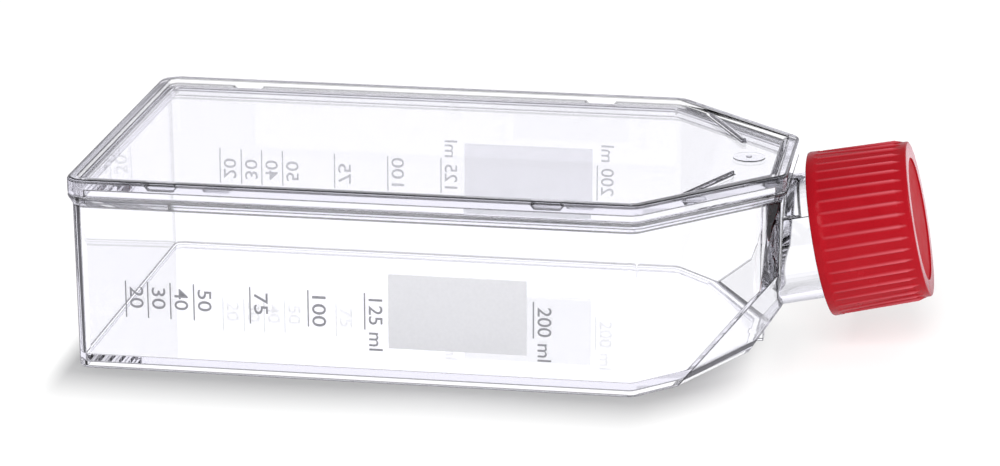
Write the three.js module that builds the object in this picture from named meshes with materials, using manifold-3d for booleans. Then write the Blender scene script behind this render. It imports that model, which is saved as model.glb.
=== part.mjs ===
// Cell culture flask: a clear tray with a canted neck, a welded top plate with a stacking rim, and a
// ribbed screw cap. Millimetres, +Z up. The flask lies on its large growth face.
//
// Flask frame: X runs from the blind end (x = 0) to the neck, Y is across, and z = 0 is the standing
// plane. Neck frame: +Z runs out along the canted neck, from the outside of the end wall.

import * as THREE from 'three';
import { mergeVertices } from 'three/addons/utils/BufferGeometryUtils.js';
import Module from 'manifold-3d';

const wasm = await Module();
wasm.setup();

// ---------------------------------------------------------------- driving dimensions

// Plan outline, measured on the outside of the rim
const bodyLength = 133.3;
const bodyWidth = 77;
const bodyHeight = 37.4;
const straightLength = 108;
const neckMargin = 1.5;
const blindCornerRadius = 4;
const shoulderRadius = 4;
const endCornerRadius = 3;
const sharpestRadius = 0.4;

// Tray moulding
const wallThickness = 1.2;
const floorThickness = 1.3;
const wallDraft = THREE.MathUtils.degToRad(0.6);
const footHeight = 1.1;
const footRimWidth = 1.4;
const flangeOverhang = 0.95;
const flangeLip = 0.45;
const flangeSlopeHeight = 1.55;

// Ramp under the neck: two leaning facets and a centre facet, over a short toe
const rampStart = 7;
const toeSetback = 7.1;
const toeHalfWidth = 8.2;
const sideFacetLean = THREE.MathUtils.degToRad(23.3);
const centreFacetLean = THREE.MathUtils.degToRad(35);
const toeFootLength = 2.2;
const toeFootWidth = 2.6;

// Top plate moulding
const plateThickness = 1.3;
const rimHeight = 1.1;
const rimWidth = 2.1;
const seatDepth = 0.9;
const rimEdgeBreak = 0.4;
const weldGap = 0.1;
const ridgeClearance = 0.3;
const ridgeWidth = 0.9;
const ridgeDepth = 1.2;
const stackRibWidth = 0.9;
const stackRibHeight = 0.8;
const stackRibLength = 21;
const stackRibStart = 5.7;
const stackRibLean = THREE.MathUtils.degToRad(64.5);
const endRimSlope = 1.2;
const notchLength = 6.2;
const notchWidth = 1.1;
const notchDepth = 0.9;
const notchEndSlope = 0.65;
const notchBlindDistance = 15.4;
const notchShoulderDistance = 13.6;

// Neck
const neckCant = THREE.MathUtils.degToRad(12);
const neckCover = 1.1;
const neckOuterRadius = 12.2;
const neckWall = 1.6;
const neckLipBreak = 0.5;
const throatRadius = 14;
const lugStart = 1.2;
const lugLength = 3.6;
const lugHeight = 0.7;
const lugFrom = THREE.MathUtils.degToRad(34);
const lugTo = THREE.MathUtils.degToRad(78);
const lugSlope = THREE.MathUtils.degToRad(17);

// Screw cap
const capStandoff = 6.8;
const capHeight = 19.1;
const capWall = 1.7;
const capDraft = THREE.MathUtils.degToRad(1.5);
const capThreadSpace = 1.5;
const capEndThickness = 1.4;
const capEdgeRadius = 0.7;
const capRimWidth = 3.6;
const recessDepth = 1.2;
const mouthClearance = 0.3;
const plugClearance = 0.3;
const plugThickness = 1.1;
const plugLength = 3.2;
const plugLead = 0.4;
const ribCount = 42;
const ribHeight = 0.5;
const ribBaseWidth = 1.1;
const ribCrestWidth = 0.5;
const skirtBand = 2.2;
const frontBand = 1.5;
const bandSlope = 0.6;

// Facets
const cornerSteps = 5;
const neckSegments = 64;
const capSegments = 2 * ribCount;
const edgeSteps = 3;

// ---------------------------------------------------------------- levels worked out from them

const plateTop = bodyHeight - rimHeight;
const plateUnderside = plateTop - plateThickness;
const weldPlane = plateUnderside - seatDepth;
const flangeTop = weldPlane - weldGap;
const flangeUnderside = flangeTop - flangeLip;
const wallTop = flangeUnderside - flangeSlopeHeight;
const floorTop = footHeight + floorThickness;
const endWidth = 2 * (neckOuterRadius + neckMargin);
const shoulderSlope = (bodyWidth - endWidth) / 2 / (bodyLength - straightLength);
const neckAxisHeight = weldPlane - neckCover - neckOuterRadius / Math.cos(neckCant);
const neckBoreRadius = neckOuterRadius - neckWall;
const throatTop = weldPlane - ridgeDepth - ridgeClearance;
const capCeiling = capHeight - recessDepth - capEndThickness;
const neckLength = capStandoff + capCeiling - mouthClearance;
const capInnerRadius = neckOuterRadius + capThreadSpace;
const capSkirtRadius = capInnerRadius + capWall + ribHeight;

const colours = {
  clear: new THREE.MeshStandardMaterial({
    color: 0xe9eef2, roughness: 0.06, metalness: 0, transparent: true, opacity: 0.35,
  }),
  clearPlate: new THREE.MeshStandardMaterial({
    color: 0xeef2f5, roughness: 0.06, metalness: 0, transparent: true, opacity: 0.35,
  }),
  red: new THREE.MeshStandardMaterial({ color: 0xbe1e2d, roughness: 0.38, metalness: 0 }),
};

// ---------------------------------------------------------------- solids

/** A closed three.js geometry as a solid that can be joined and cut. */
function solid(geometry) {
  const bare = geometry.clone();
  bare.deleteAttribute('normal');
  bare.deleteAttribute('uv');
  const merged = mergeVertices(bare, 1e-4);
  const mesh = new wasm.Mesh({
    numProp: 3,
    vertProperties: Float32Array.from(merged.attributes.position.array),
    triVerts: Uint32Array.from(merged.index.array),
  });
  return new wasm.Manifold(mesh);
}

/** The geometry of a finished solid. */
function geometryOf(body) {
  const mesh = body.getMesh();
  const geometry = new THREE.BufferGeometry();
  geometry.setAttribute('position', new THREE.BufferAttribute(mesh.vertProperties, 3));
  geometry.setIndex(new THREE.BufferAttribute(mesh.triVerts, 1));
  geometry.computeVertexNormals();
  return geometry;
}

/** A solid of revolution about +Z from [radius, height] pairs. */
function revolve(profile, segments) {
  const points = profile.map(([radius, height]) => new THREE.Vector2(radius, height));
  return new THREE.LatheGeometry(points, segments).rotateX(Math.PI / 2);
}

/** Stacks closed rings of equal length into one closed skin. */
function loft(rings) {
  const count = rings[0].length;
  const positions = rings.flat().flatMap((point) => [point.x, point.y, point.z]);
  const lid = THREE.ShapeUtils.triangulateShape(rings[0], []);
  const top = (rings.length - 1) * count;
  const index = [];
  for (const [a, b, c] of lid) {
    index.push(a, c, b, top + a, top + b, top + c);
  }
  for (let ring = 0; ring < rings.length - 1; ring += 1) {
    for (let i = 0; i < count; i += 1) {
      const a = ring * count + i;
      const b = ring * count + (i + 1) % count;
      index.push(a, b, b + count, a, b + count, a + count);
    }
  }
  const geometry = new THREE.BufferGeometry();
  geometry.setAttribute('position', new THREE.Float32BufferAttribute(positions, 3));
  geometry.setIndex(index);
  return geometry;
}

// ---------------------------------------------------------------- plan outline

/** The six sharp plan corners with their rounding radius, counter-clockwise from above. */
function planCorners(endRadius) {
  const side = bodyWidth / 2;
  const end = endWidth / 2;
  return [
    { at: new THREE.Vector2(0, -side), radius: blindCornerRadius },
    { at: new THREE.Vector2(straightLength, -side), radius: shoulderRadius },
    { at: new THREE.Vector2(bodyLength, -end), radius: endRadius },
    { at: new THREE.Vector2(bodyLength, end), radius: endRadius },
    { at: new THREE.Vector2(straightLength, side), radius: shoulderRadius },
    { at: new THREE.Vector2(0, side), radius: blindCornerRadius },
  ];
}

/** One rounded corner of the outline, moved inwards by inset: arcs stay concentric until sharp. */
function cornerArc(previous, corner, next, inset) {
  const arriving = corner.at.clone().sub(previous.at).normalize();
  const leaving = next.at.clone().sub(corner.at).normalize();
  const turn = Math.acos(THREE.MathUtils.clamp(arriving.dot(leaving), -1, 1));
  const inwards = leaving.clone().sub(arriving).normalize();
  const reach = Math.max(corner.radius - inset, sharpestRadius);
  const centre = corner.at.clone().addScaledVector(inwards, (reach + inset) / Math.cos(turn / 2));
  const start = Math.atan2(-arriving.x, arriving.y);
  const arc = [];
  for (let step = 0; step <= cornerSteps; step += 1) {
    const angle = start + (turn * step) / cornerSteps;
    arc.push(new THREE.Vector2(Math.cos(angle), Math.sin(angle)).multiplyScalar(reach).add(centre));
  }
  return arc;
}

/** The rounded plan outline at height z, moved inwards by inset. */
function planRing(z, inset, endRadius = endCornerRadius) {
  const corners = planCorners(endRadius);
  const last = corners.length;
  const ring = corners.flatMap((corner, i) => (
    cornerArc(corners[(i + last - 1) % last], corner, corners[(i + 1) % last], inset)
  ));
  return ring.map((point) => new THREE.Vector3(point.x, point.y, z));
}

/** A solid with the plan outline, from [z, inset] pairs. */
function planSolid(levels) {
  return solid(loft(levels.map(([z, inset]) => planRing(z, inset))));
}

/** How far the drafted outer wall lies inside the rim at height z. */
function wallInset(z) {
  return flangeOverhang + (wallTop - z) * Math.tan(wallDraft);
}

// ---------------------------------------------------------------- ramp

/** Everything on the outer side of a plane, as a cutter. */
function beyond(point, normal) {
  const reach = 2 * bodyLength;
  const turn = new THREE.Quaternion().setFromUnitVectors(new THREE.Vector3(0, 0, 1), normal);
  const block = new THREE.BoxGeometry(reach, reach, reach).translate(0, 0, reach / 2);
  return solid(block.applyQuaternion(turn).translate(point.x, point.y, point.z));
}

/** The point on the +Y shoulder that lies beyond the straight side by x, moved inwards by inset. */
function shoulderPoint(x, inset) {
  const y = bodyWidth / 2 - shoulderSlope * x - inset * Math.hypot(1, shoulderSlope);
  return new THREE.Vector3(straightLength + x, y, 0);
}

/** The three ramp planes, moved inwards by depth: two side facets and the centre facet. */
function rampPlanes(depth) {
  const from = shoulderPoint(rampStart, wallInset(0));
  const to = new THREE.Vector3(bodyLength - toeSetback, toeHalfWidth, 0);
  const flat = new THREE.Vector2(from.y - to.y, to.x - from.x).normalize();
  const side = Math.cos(sideFacetLean);
  const normals = [1, -1].map((hand) => (
    new THREE.Vector3(flat.x * side, hand * flat.y * side, -Math.sin(sideFacetLean))
  ));
  normals.push(new THREE.Vector3(Math.cos(centreFacetLean), 0, -Math.sin(centreFacetLean)));
  const points = [to.clone(), new THREE.Vector3(to.x, -to.y, 0), new THREE.Vector3(to.x, 0, 0)];
  return normals.map((normal, i) => ({ normal, point: points[i].addScaledVector(normal, -depth) }));
}

/** Cuts the three ramp facets, moved inwards by depth, off a body. */
function withRamp(body, depth) {
  return rampPlanes(depth).reduce((rest, { point, normal }) => (
    rest.subtract(beyond(point, normal))
  ), body);
}

// ---------------------------------------------------------------- neck

/** From the neck frame to the flask frame. */
function neckPlace() {
  const place = new THREE.Matrix4().makeRotationY(Math.PI / 2 - neckCant);
  return place.setPosition(bodyLength - flangeOverhang, 0, neckAxisHeight);
}

/** The solid neck; its root reaches far enough in to end inside the tray. */
function neckOutside() {
  const root = -neckOuterRadius / 3;
  const profile = [
    [0, root],
    [neckOuterRadius, root],
    [neckOuterRadius, neckLength - neckLipBreak],
    [neckOuterRadius - neckLipBreak, neckLength],
    [0, neckLength],
  ];
  return solid(revolve(profile, neckSegments).applyMatrix4(neckPlace()));
}

/** The bore, from inside the tray to past the mouth. */
function neckBore() {
  const root = -neckBoreRadius;
  const mouth = neckLength + 1;
  const profile = [[0, root], [neckBoreRadius, root], [neckBoreRadius, mouth], [0, mouth]];
  return solid(revolve(profile, neckSegments).applyMatrix4(neckPlace()));
}

/** The raised lug on the upper -Y quarter of the neck, its front edge sloping like a cam. */
function neckLug() {
  const outer = neckOuterRadius + lugHeight;
  const inner = neckOuterRadius - neckWall / 2;
  const from = -Math.PI / 2 - lugFrom;
  const to = -Math.PI / 2 - lugTo;
  const sector = new THREE.Shape();
  sector.absarc(0, 0, outer, to, from, false);
  sector.absarc(0, 0, inner, from, to, true);
  const block = new THREE.ExtrudeGeometry(sector, {
    depth: lugLength, bevelEnabled: false, curveSegments: 2 * cornerSteps,
  });
  block.translate(0, 0, lugStart);
  const tip = new THREE.Vector3(Math.cos(from) * outer, Math.sin(from) * outer, lugStart + lugLength);
  const middle = (from + to) / 2;
  const outwards = new THREE.Vector3(Math.cos(middle), Math.sin(middle), 0);
  const normal = new THREE.Vector3(0, 0, 1).applyAxisAngle(outwards, -lugSlope);
  const lug = solid(block).subtract(beyond(tip, normal));
  return solid(geometryOf(lug).applyMatrix4(neckPlace()));
}

// ---------------------------------------------------------------- flask body

/** Outside of the tray: foot, drafted walls, sloped shoulder and flange lip. */
function trayOutside() {
  const tray = planSolid([
    [0, wallInset(0)],
    [wallTop, flangeOverhang],
    [flangeUnderside, 0],
    [flangeTop, 0],
  ]);
  return withRamp(tray, 0);
}

/** What fills the sharp inner corners beside the bore, so that the inside narrows in a curve. */
function throatFill() {
  const levels = [0, bodyHeight].map((z) => {
    const inset = wallInset(z) + wallThickness;
    return planRing(z, inset, throatRadius + inset);
  });
  const reach = 2 * throatRadius;
  const block = new THREE.BoxGeometry(reach, bodyWidth, throatTop);
  return solid(block.translate(bodyLength, 0, throatTop / 2)).subtract(solid(loft(levels)));
}

/** Inside of the tray, with the ramp facets one wall further in and a curved throat at the end. */
function trayInside() {
  const top = bodyHeight;
  const hollow = planSolid([
    [floorTop, wallInset(floorTop) + wallThickness],
    [top, wallInset(top) + wallThickness],
  ]);
  return withRamp(hollow, wallThickness).subtract(throatFill());
}

/** The shallow space under the floor, inside the foot rim. */
function footRecess() {
  const inset = wallInset(0) + footRimWidth;
  return withRamp(planSolid([[-1, inset], [footHeight, inset]]), footRimWidth);
}

/** The small foot under the toe, which carries the flask when the neck is leant on. */
function toeFoot() {
  const end = bodyLength - toeSetback + toeFootLength;
  const length = toeFootLength + footRimWidth;
  const height = toeFootLength / Math.tan(centreFacetLean) + wallThickness / 2;
  const foot = new THREE.BoxGeometry(length, toeFootWidth, height);
  return solid(foot.translate(end - length / 2, 0, height / 2));
}

function flaskBody() {
  return trayOutside()
    .subtract(footRecess())
    .add(toeFoot())
    .add(neckOutside())
    .add(neckLug())
    .subtract(trayInside())
    .subtract(neckBore());
}

// ---------------------------------------------------------------- top plate

/** The plate with its raised rim and the ridge below that centres it in the tray. */
function rimmedPlate() {
  const ridgeOuter = wallInset(weldPlane) + wallThickness + ridgeClearance;
  const ridgeInner = ridgeOuter + ridgeWidth;
  const ridgeLow = weldPlane - ridgeDepth;
  const blank = planSolid([
    [weldPlane, 0],
    [bodyHeight - rimEdgeBreak, 0],
    [bodyHeight, rimEdgeBreak],
  ]);
  const ridge = planSolid([[ridgeLow, ridgeOuter], [plateUnderside, ridgeOuter]]);
  const recess = planSolid([[plateTop, rimWidth], [bodyHeight + 1, rimWidth]]);
  const below = planSolid([[ridgeLow - 1, ridgeInner], [plateUnderside, ridgeInner]]);
  return blank.add(ridge).subtract(recess).subtract(below);
}

/** One of the two stacking ribs that catch the toe of the flask above. */
function stackRib(hand) {
  const start = shoulderPoint(stackRibStart, rimWidth);
  const height = stackRibHeight + plateThickness / 2;
  const rib = new THREE.BoxGeometry(stackRibLength, stackRibWidth, height);
  rib.translate(stackRibLength / 2, 0, plateTop + stackRibHeight - height / 2);
  return solid(rib.rotateZ(-hand * stackRibLean).translate(start.x, hand * start.y, 0));
}

/** The slope on the inner side of the rim at the neck end. */
function endSlope() {
  const root = rimWidth / 2;
  const section = new THREE.Shape([
    new THREE.Vector2(root, -root),
    new THREE.Vector2(root, rimHeight),
    new THREE.Vector2(0, rimHeight),
    new THREE.Vector2(-endRimSlope, 0),
    new THREE.Vector2(-endRimSlope, -root),
  ]);
  const wedge = new THREE.ExtrudeGeometry(section, { depth: endWidth, bevelEnabled: false });
  wedge.rotateX(Math.PI / 2);
  wedge.translate(bodyLength - rimWidth, endWidth / 2, plateTop);
  return solid(wedge).intersect(planSolid([[plateUnderside, rimWidth / 2], [bodyHeight, rimWidth / 2]]));
}

/** One wedge-ended stacking notch at the foot of the rim's inner face, from x towards the neck. */
function rimNotch(x, hand) {
  const outline = new THREE.Shape([
    new THREE.Vector2(0, 0),
    new THREE.Vector2(notchEndSlope, -notchDepth),
    new THREE.Vector2(notchLength - notchEndSlope, -notchDepth),
    new THREE.Vector2(notchLength, 0),
    new THREE.Vector2(notchLength, rimHeight / 2),
    new THREE.Vector2(0, rimHeight / 2),
  ]);
  const notch = new THREE.ExtrudeGeometry(outline, { depth: notchWidth, bevelEnabled: false });
  notch.rotateX(Math.PI / 2);
  const inner = bodyWidth / 2 - rimWidth;
  const y = hand > 0 ? inner : notchWidth - inner;
  return solid(notch.translate(x, y, plateTop));
}

function topPlate() {
  const nearShoulder = straightLength - notchShoulderDistance - notchLength;
  let plate = rimmedPlate().add(endSlope());
  for (const hand of [1, -1]) {
    plate = plate.add(stackRib(hand));
    plate = plate.subtract(rimNotch(notchBlindDistance, hand));
    plate = plate.subtract(rimNotch(nearShoulder, hand));
  }
  return plate;
}

// ---------------------------------------------------------------- screw cap

/** Radius of the cap's rib crests at a height above the open end. */
function crestRadius(height) {
  return capSkirtRadius - height * Math.tan(capDraft);
}

/** A quarter round between the cap's side and its front face. */
function capEdge() {
  const radius = crestRadius(capHeight) - capEdgeRadius;
  const height = capHeight - capEdgeRadius;
  const edge = [];
  for (let step = 0; step <= edgeSteps; step += 1) {
    const angle = (Math.PI / 2) * (step / edgeSteps);
    edge.push([radius + capEdgeRadius * Math.cos(angle), height + capEdgeRadius * Math.sin(angle)]);
  }
  return edge;
}

/** Profile of the cap without its ribs: up the outside, across the front, back down the inside. */
function capProfile() {
  const plugOuter = neckBoreRadius - plugClearance;
  const plugInner = plugOuter - plugThickness;
  const recessRadius = crestRadius(capHeight) - capRimWidth;
  const recessFloor = capHeight - recessDepth;
  const low = skirtBand + bandSlope;
  const high = capHeight - frontBand - bandSlope;
  return [
    [capInnerRadius, 0],
    [crestRadius(0) - bandSlope / 2, 0],
    [crestRadius(0), bandSlope / 2],
    [crestRadius(skirtBand), skirtBand],
    [crestRadius(low) - ribHeight, low],
    [crestRadius(high) - ribHeight, high],
    [crestRadius(capHeight - frontBand), capHeight - frontBand],
    ...capEdge(),
    [recessRadius, capHeight],
    [recessRadius, recessFloor],
    [0, recessFloor],
    [0, capCeiling],
    [plugInner, capCeiling],
    [plugInner, capCeiling - plugLength],
    [plugOuter - plugLead, capCeiling - plugLength],
    [plugOuter, capCeiling - plugLength + 2 * plugLead],
    [plugOuter, capCeiling],
    [capInnerRadius, capCeiling],
    [capInnerRadius, 0],
  ];
}

/** One grip rib, tapering with the cap, its ends sunk in the two plain bands. */
function gripRib(index) {
  const sink = ribHeight / 2;
  const section = new THREE.Shape([
    new THREE.Vector2(-ribHeight - sink, -ribBaseWidth / 2),
    new THREE.Vector2(0, -ribCrestWidth / 2),
    new THREE.Vector2(0, ribCrestWidth / 2),
    new THREE.Vector2(-ribHeight - sink, ribBaseWidth / 2),
  ]);
  const length = capHeight - skirtBand - frontBand;
  const rib = new THREE.ExtrudeGeometry(section, { depth: length, bevelEnabled: false });
  rib.rotateY(-capDraft);
  rib.translate(crestRadius(skirtBand) - ribHeight / 10, 0, skirtBand);
  return solid(rib.rotateZ((2 * Math.PI * index) / ribCount));
}

function screwCap() {
  let cap = solid(revolve(capProfile(), capSegments));
  for (let index = 0; index < ribCount; index += 1) {
    cap = cap.add(gripRib(index));
  }
  return cap;
}

// ---------------------------------------------------------------- assembly

/** A finished solid as a named mesh. */
function piece(name, body, material) {
  const mesh = new THREE.Mesh(geometryOf(body), material);
  mesh.name = name;
  return mesh;
}

/** The cap on the neck, in a group that holds the neck's place and cant. */
function cappedNeck() {
  const neck = new THREE.Group();
  neck.applyMatrix4(neckPlace());
  const cap = piece('screw_cap', screwCap(), colours.red);
  cap.position.z = capStandoff;
  neck.add(cap);
  return neck;
}

const flask = new THREE.Group();
flask.add(piece('flask_body', flaskBody(), colours.clear));
flask.add(piece('top_plate', topPlate(), colours.clearPlate));
flask.add(cappedNeck());

// The part's origin is the bottom centre of its bounding box.
const bounds = new THREE.Box3().setFromObject(flask, true);
flask.position.x = -(bounds.min.x + bounds.max.x) / 2;
flask.updateMatrixWorld(true);

export default flask;
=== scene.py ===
"""Cell culture flask: a clear welded body with a canted neck, printed marks and a ribbed screw cap.

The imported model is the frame. Each class below finishes or adds one sub-assembly of the flask.
Lengths are millimetres in the flask's own frame (x from the blind end, y across, z up) until
point(), neck() or wall() takes them to metres in the part's frame.
"""

import logging
import math
from dataclasses import dataclass
from enum import Enum

import bmesh
import bpy
from mathutils import Matrix, Vector


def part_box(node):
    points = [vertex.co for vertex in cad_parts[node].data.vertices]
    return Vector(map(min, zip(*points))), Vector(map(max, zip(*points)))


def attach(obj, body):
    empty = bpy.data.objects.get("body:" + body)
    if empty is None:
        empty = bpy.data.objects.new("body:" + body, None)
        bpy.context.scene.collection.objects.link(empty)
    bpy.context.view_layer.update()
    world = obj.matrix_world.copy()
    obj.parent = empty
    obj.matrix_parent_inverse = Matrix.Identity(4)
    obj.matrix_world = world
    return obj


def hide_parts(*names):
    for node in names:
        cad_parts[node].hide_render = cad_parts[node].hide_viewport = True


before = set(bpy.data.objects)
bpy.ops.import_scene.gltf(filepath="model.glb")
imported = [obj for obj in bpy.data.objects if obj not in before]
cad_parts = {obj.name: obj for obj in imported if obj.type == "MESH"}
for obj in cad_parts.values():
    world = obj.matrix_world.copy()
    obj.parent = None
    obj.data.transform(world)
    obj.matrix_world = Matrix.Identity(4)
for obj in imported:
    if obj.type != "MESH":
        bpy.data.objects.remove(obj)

MM = 0.001
TOUCH = 0.001  # millimetres within which two points are one
LOG = logging.getLogger("culture_flask")


# ---------------------------------------------------------------- nodes and meshes


def linear(colour: str) -> tuple[float, float, float, float]:
    """Turns an sRGB hex colour to linear values.

    Args:
        colour: "#RRGGBB".

    Returns:
        Linear red, green and blue with an alpha of 1.
    """
    values = [int(colour[i:i + 2], 16) / 255 for i in (1, 3, 5)]
    red, green, blue = [v / 12.92 if v <= 0.04045 else ((v + 0.055) / 1.055) ** 2.4 for v in values]
    return red, green, blue, 1.0


def add_node(
    tree: bpy.types.NodeTree, kind: str, inputs: dict | None = None, **settings: object
) -> bpy.types.Node:
    """Adds one node to a tree.

    A Mix node is reached by number: 0 is its factor, 2 and 3 are its plain values with the result
    in output 0, and 6 and 7 are its colours with the result in output 2.

    Args:
        tree: the node tree.
        kind: the node's type name.
        inputs: a value or an output socket for each input, by name or number.
        **settings: the node's own properties.

    Returns:
        The new node.
    """
    node = tree.nodes.new(kind)
    for name, value in settings.items():
        setattr(node, name, value)
    for name, value in (inputs or {}).items():
        if isinstance(value, bpy.types.NodeSocket):
            tree.links.new(value, node.inputs[name])
        else:
            node.inputs[name].default_value = value
    return node


def new_tree(name: str) -> tuple[bpy.types.Material, bpy.types.NodeTree]:
    """Makes an empty node material.

    Args:
        name: the material's name.

    Returns:
        The material and its tree.
    """
    material = bpy.data.materials.new(name)
    material.use_nodes = True
    material.node_tree.nodes.clear()
    return material, material.node_tree


def mesh_object(name: str, bm: bmesh.types.BMesh, sharp: float = 30.0) -> bpy.types.Object:
    """Makes a finished bmesh an object at the origin, smooth but for its sharp edges.

    Args:
        name: the piece's name.
        bm: the mesh in metres, in the part's frame; it is freed.
        sharp: edges that turn by more than this many degrees stay sharp.

    Returns:
        The linked object.
    """
    mesh = bpy.data.meshes.new(name)
    bm.to_mesh(mesh)
    bm.free()
    for polygon in mesh.polygons:
        polygon.use_smooth = True
    mesh.set_sharp_from_angle(angle=math.radians(sharp))
    piece = bpy.data.objects.new(name, mesh)
    bpy.context.scene.collection.objects.link(piece)
    return piece


def dress(piece: bpy.types.Object, finish: "Finish", body: "Body") -> bpy.types.Object:
    """Gives a piece its material, and makes it ride on its body.

    Args:
        piece: the piece, in place.
        finish: the finish it wears.
        body: the CAD body it moves with.

    Returns:
        The same piece.
    """
    piece.data.materials.append(finish.material())
    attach(piece, body.value)
    LOG.info("%s: %s, rides on %s", piece.name, finish.name, body.value)
    return piece


class Body(Enum):
    """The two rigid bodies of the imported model."""

    FLASK = "flask"
    CAP = "cap"


class Side(Enum):
    """A long wall: NEAR faces -Y and FAR faces +Y."""

    NEAR = -1
    FAR = 1


# ---------------------------------------------------------------- finishes


class Finish:
    """A surface finish, made once and shared by every piece that wears it."""

    name: str
    slot: str
    _made: dict[str, bpy.types.Material] = {}

    def material(self) -> bpy.types.Material:
        """Returns the finish's material, which is made on first use."""
        if self.name not in Finish._made:
            Finish._made[self.name] = self.make()
        return Finish._made[self.name]

    def make(self) -> bpy.types.Material:
        """Makes the material."""
        raise NotImplementedError


@dataclass(frozen=True)
class ClearPolystyrene(Finish):
    """General-purpose polystyrene, injection moulded against polished steel.

    The mould's polish gives it a glassy skin. Its flow leaves a waviness some 15 mm long that only
    bends reflections a little, and long paths through it look faintly violet. Where the face
    attribute
    "edge" marks the tight corners, the colour is painted near black: painted shade that stands for
    the light from behind, which real corners turn away. Lamps pass with a light grey shade, which
    clears from neck_start to neck_end, in millimetres along the part's X.
    """

    name: str = "clear_polystyrene_polished"
    slot: str = "clear_polystyrene"
    colour: str = "#FDFDFF"
    # Painted shade: the near-black colour painted on the tight corners that "edge" marks.
    edge: str = "#040406"
    shade: str = "#BEBEC2"
    neck_shade: str = "#FEFEFE"
    neck_start: float = 33.0
    neck_end: float = 47.0
    tint: str = "#DEDCE8"
    ior: float = 1.59
    absorption: float = 4.5
    wave_length: float = 15.0
    wave_height: float = 0.006
    wave_strength: float = 0.3
    wave_span: tuple[float, float] = (0.4, 0.8)
    smoothest: float = 0.0
    roughest: float = 0.02

    def make(self) -> bpy.types.Material:
        """Makes the glassy shader.

        Returns:
            The material.
        """
        material, tree = new_tree(self.name)
        place = add_node(tree, "ShaderNodeTexCoord")
        wave = add_node(tree, "ShaderNodeTexNoise", {
            "Vector": place.outputs["Object"], "Scale": 1 / (self.wave_length * MM), "Detail": 1.0,
        })
        relief = add_node(tree, "ShaderNodeBump", {
            "Height": wave.outputs[0], "Strength": self.wave_strength,
            "Distance": self.wave_height * MM,
        })
        polish = add_node(tree, "ShaderNodeMapRange", {
            "Value": wave.outputs[0], "From Min": self.wave_span[0], "From Max": self.wave_span[1],
            "To Min": self.smoothest, "To Max": self.roughest,
        })
        # Painted shade: the base colour turns near black where the face attribute "edge" says.
        edge = add_node(
            tree, "ShaderNodeAttribute", attribute_name="edge", attribute_type="GEOMETRY",
        )
        clear = add_node(tree, "ShaderNodeMix", {
            0: edge.outputs["Fac"], 6: linear(self.colour), 7: linear(self.edge),
        }, data_type="RGBA")
        skin = add_node(tree, "ShaderNodeBsdfPrincipled", {
            "Base Color": clear.outputs[2], "Roughness": polish.outputs[0], "IOR": self.ior,
            "Transmission Weight": 1.0, "Normal": relief.outputs[0],
        })
        along = add_node(tree, "ShaderNodeSeparateXYZ", {0: place.outputs["Object"]})
        thin = add_node(tree, "ShaderNodeMapRange", {
            "Value": along.outputs["X"], "From Min": self.neck_start * MM,
            "From Max": self.neck_end * MM, "To Min": 0.0, "To Max": 1.0,
        })
        dim = add_node(tree, "ShaderNodeMix", {
            0: thin.outputs[0], 6: linear(self.shade), 7: linear(self.neck_shade),
        }, data_type="RGBA")
        lamps = add_node(tree, "ShaderNodeBsdfTransparent", {"Color": dim.outputs[2]})
        path = add_node(tree, "ShaderNodeLightPath")
        surface = add_node(tree, "ShaderNodeMixShader", {
            0: path.outputs["Is Shadow Ray"], 1: skin.outputs[0], 2: lamps.outputs[0],
        })
        inside = add_node(tree, "ShaderNodeVolumeAbsorption", {
            "Color": linear(self.tint), "Density": self.absorption,
        })
        add_node(tree, "ShaderNodeOutputMaterial", {
            "Surface": surface.outputs[0], "Volume": inside.outputs[0],
        })
        return material


@dataclass(frozen=True)
class RedPolyethylene(Finish):
    """High-density polyethylene, injection moulded in masterbatch red.

    The colour streaks a little with the flow. Where the mould is polished the skin is waxy and
    shows soft highlights; where the mould was spark eroded it is matt and grainy. The point
    attribute "rib" paints the thin crests of the grip ribs a paler red: painted light, standing
    for the light that the thin crests let in.
    """

    name: str = "red_polyethylene_moulded"
    slot: str = "red_cap"
    deep: str = "#A40F1B"
    bright: str = "#B41825"
    # Painted light: the paler red painted on the rib crests.
    thin: str = "#D4606A"
    specular: float = 0.1
    ior: float = 1.54
    gloss: float = 0.2
    dull: float = 0.28
    streak_length: float = 6.0
    streak_span: tuple[float, float] = (0.3, 0.7)
    grain: float = 0.5
    grain_height: float = 0.004
    grain_strength: float = 0.5

    def make(self) -> bpy.types.Material:
        """Makes the waxy red shader.

        Returns:
            The material.
        """
        material, tree = new_tree(self.name)
        place = add_node(tree, "ShaderNodeTexCoord")
        streak = add_node(tree, "ShaderNodeTexNoise", {
            "Vector": place.outputs["Object"], "Scale": 1 / (self.streak_length * MM),
            "Detail": 3.0,
        })
        colour = add_node(tree, "ShaderNodeMix", {
            0: streak.outputs[0], 6: linear(self.deep), 7: linear(self.bright),
        }, data_type="RGBA")
        grain = add_node(tree, "ShaderNodeTexNoise", {
            "Vector": place.outputs["Object"], "Scale": 1 / (self.grain * MM), "Detail": 2.0,
        })
        relief = add_node(tree, "ShaderNodeBump", {
            "Height": grain.outputs[0], "Strength": self.grain_strength,
            "Distance": self.grain_height * MM,
        })
        gloss = add_node(tree, "ShaderNodeMapRange", {
            "Value": streak.outputs[0], "From Min": self.streak_span[0],
            "From Max": self.streak_span[1], "To Min": self.gloss, "To Max": self.dull,
        })
        # Painted light: the rib crests are painted paler, by how high they stand.
        rib = add_node(tree, "ShaderNodeAttribute", attribute_name="rib", attribute_type="GEOMETRY")
        glow = add_node(tree, "ShaderNodeMix", {
            0: rib.outputs["Fac"], 6: colour.outputs[2], 7: linear(self.thin),
        }, data_type="RGBA")
        skin = add_node(tree, "ShaderNodeBsdfPrincipled", {
            "Base Color": glow.outputs[2], "Roughness": gloss.outputs[0], "IOR": self.ior,
            "Specular IOR Level": self.specular, "Normal": relief.outputs[0],
        })
        add_node(tree, "ShaderNodeOutputMaterial", {"Surface": skin.outputs[0]})
        return material


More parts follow.
